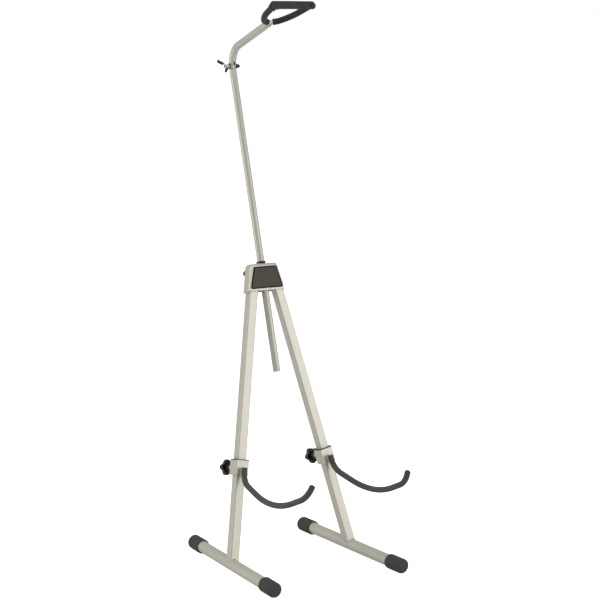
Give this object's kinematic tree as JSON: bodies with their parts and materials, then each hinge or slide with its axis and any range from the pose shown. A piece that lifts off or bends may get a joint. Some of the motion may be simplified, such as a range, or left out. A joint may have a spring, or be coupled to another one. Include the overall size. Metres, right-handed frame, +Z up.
{
  "type": "cello and double bass floor stand",
  "caption": "A-frame floor stand for a cello or bass: folding square legs on round foot tubes, sliding padded cradle arms, telescoping rod, tilting padded neck yoke with strap.",
  "frame": {"origin": "on the floor under the middle of the outline, between the foot caps", "axes": "+Z up, -Y the front where the instrument leans in, +X to the right when looking along +Y"},
  "size_m": [0.408, 0.6603, 1.4178],
  "materials": {
    "silver_paint": "satin silver-champagne powder coat",
    "plate": "dark grey fine-grained moulding with a near-black rim",
    "black_plastic": "black fine-grained moulding",
    "cap_rubber": "matt, faintly mottled",
    "cover_foam": "dense matt foam rubber sleeve",
    "strap_rubber": "satin black soft strap",
    "steel": "zinc-plated",
    "nickel": "bright nickel",
    "black_oxide": "black oxide"
  },
  "bodies": {
    "head": {"head_back_shell": "silver_paint", "head_front_shell": "silver_paint", "head_cover_plate": "plate", "head_upper_bush": "black_plastic", "head_lower_saddle": "black_plastic", "head_lock_nut": "silver_paint", "head_pivot_pin_left": "steel", "head_pivot_pin_right": "steel", "head_washer_left": "black_plastic", "head_washer_right": "black_plastic"},
    "head_lock_knob": {"head_knob": "black_plastic", "head_knob_screw": "steel"},
    "rod": {"rod_tube": "silver_paint", "rod_tongue": "silver_paint", "hinge_bolt": "black_oxide", "hinge_washer_left": "black_plastic", "hinge_washer_right": "black_plastic"},
    "neck_arm": {"neck_arm_tube": "silver_paint", "neck_arm_plug": "silver_paint", "yoke_bar": "silver_paint", "yoke_pad_left": "cover_foam", "yoke_pad_right": "cover_foam", "strap_cuff": "strap_rubber", "strap_stud": "black_oxide"},
    "strap": {"strap_band": "strap_rubber"},
    "wing_nut_body": {"wing_nut": "nickel", "wing_tip_a": "black_plastic", "wing_tip_b": "black_plastic"},
    "leg_left": {"leg_left_tube": "silver_paint", "foot_left_tube": "silver_paint", "foot_left_cap_front": "cap_rubber", "foot_left_cap_back": "cap_rubber"},
    "clamp_left": {"clamp_left_sleeve": "silver_paint", "clamp_left_liner": "black_plastic", "clamp_left_nut": "silver_paint", "arm_left_lug": "silver_paint", "arm_left_bar": "steel", "arm_left_cover": "cover_foam", "arm_left_end_plug": "black_plastic"},
    "clamp_left_hand_knob": {"clamp_left_knob": "black_plastic", "clamp_left_knob_screw": "steel"},
    "leg_right": {"leg_right_tube": "silver_paint", "foot_right_tube": "silver_paint", "foot_right_cap_front": "cap_rubber", "foot_right_cap_back": "cap_rubber"},
    "clamp_right": {"clamp_right_sleeve": "silver_paint", "clamp_right_liner": "black_plastic", "clamp_right_nut": "silver_paint", "arm_right_lug": "silver_paint", "arm_right_bar": "steel", "arm_right_cover": "cover_foam", "arm_right_end_plug": "black_plastic"},
    "clamp_right_hand_knob": {"clamp_right_knob": "black_plastic", "clamp_right_knob_screw": "steel"}
  },
  "joints": [
    {"name": "leg_left_fold", "type": "hinge", "parent": "head", "child": "leg_left", "pos_m": [-0.03126, 0.14372, 0.71419], "axis": [0, -0.9783, 0.2071], "range_deg": [0, 11.4]},
    {"name": "clamp_left_slide", "type": "slide", "parent": "leg_left", "child": "clamp_left", "axis": [0.1987, 0.2029, 0.9588], "range_m": [-0.155, 0.4]},
    {"name": "clamp_left_knob_turn", "type": "hinge", "parent": "clamp_left", "child": "clamp_left_hand_knob", "pos_m": [-0.12712, 0.04581, 0.25159], "axis": [0, 0.9783, -0.2071], "range_deg": [0, 1080]},
    {"name": "leg_right_fold", "type": "hinge", "parent": "head", "child": "leg_right", "pos_m": [0.03126, 0.14372, 0.71419], "axis": [0, 0.9783, -0.2071], "range_deg": [0, 11.4]},
    {"name": "clamp_right_slide", "type": "slide", "parent": "leg_right", "child": "clamp_right", "axis": [-0.1987, 0.2029, 0.9588], "range_m": [-0.155, 0.4]},
    {"name": "clamp_right_knob_turn", "type": "hinge", "parent": "clamp_right", "child": "clamp_right_hand_knob", "pos_m": [0.12712, 0.04581, 0.25159], "axis": [0, 0.9783, -0.2071], "range_deg": [0, 1080]},
    {"name": "head_knob_turn", "type": "hinge", "parent": "head", "child": "head_lock_knob", "pos_m": [0, 0.14765, 0.73278], "axis": [0, 0.9783, -0.2071], "range_deg": [0, 1080]},
    {"name": "rod_slide", "type": "slide", "parent": "head", "child": "rod", "axis": [0, 0.286, 0.9582], "range_m": [-0.44, 0.16]},
    {"name": "neck_arm_tilt", "type": "hinge", "parent": "rod", "child": "neck_arm", "pos_m": [0, 0.30463, 1.25329], "axis": [1, 0, 0], "range_deg": [-100, 60]},
    {"name": "wing_nut_turn", "type": "hinge", "parent": "rod", "child": "wing_nut_body", "pos_m": [0, 0.30463, 1.25329], "axis": [-1, 0, 0], "range_deg": [0, 1080]},
    {"name": "strap_open", "type": "hinge", "parent": "neck_arm", "child": "strap", "pos_m": [-0.0383, -0.00604, 1.40818], "axis": [0, -0.342, -0.9397], "range_deg": [0, 100]}
  ]
}
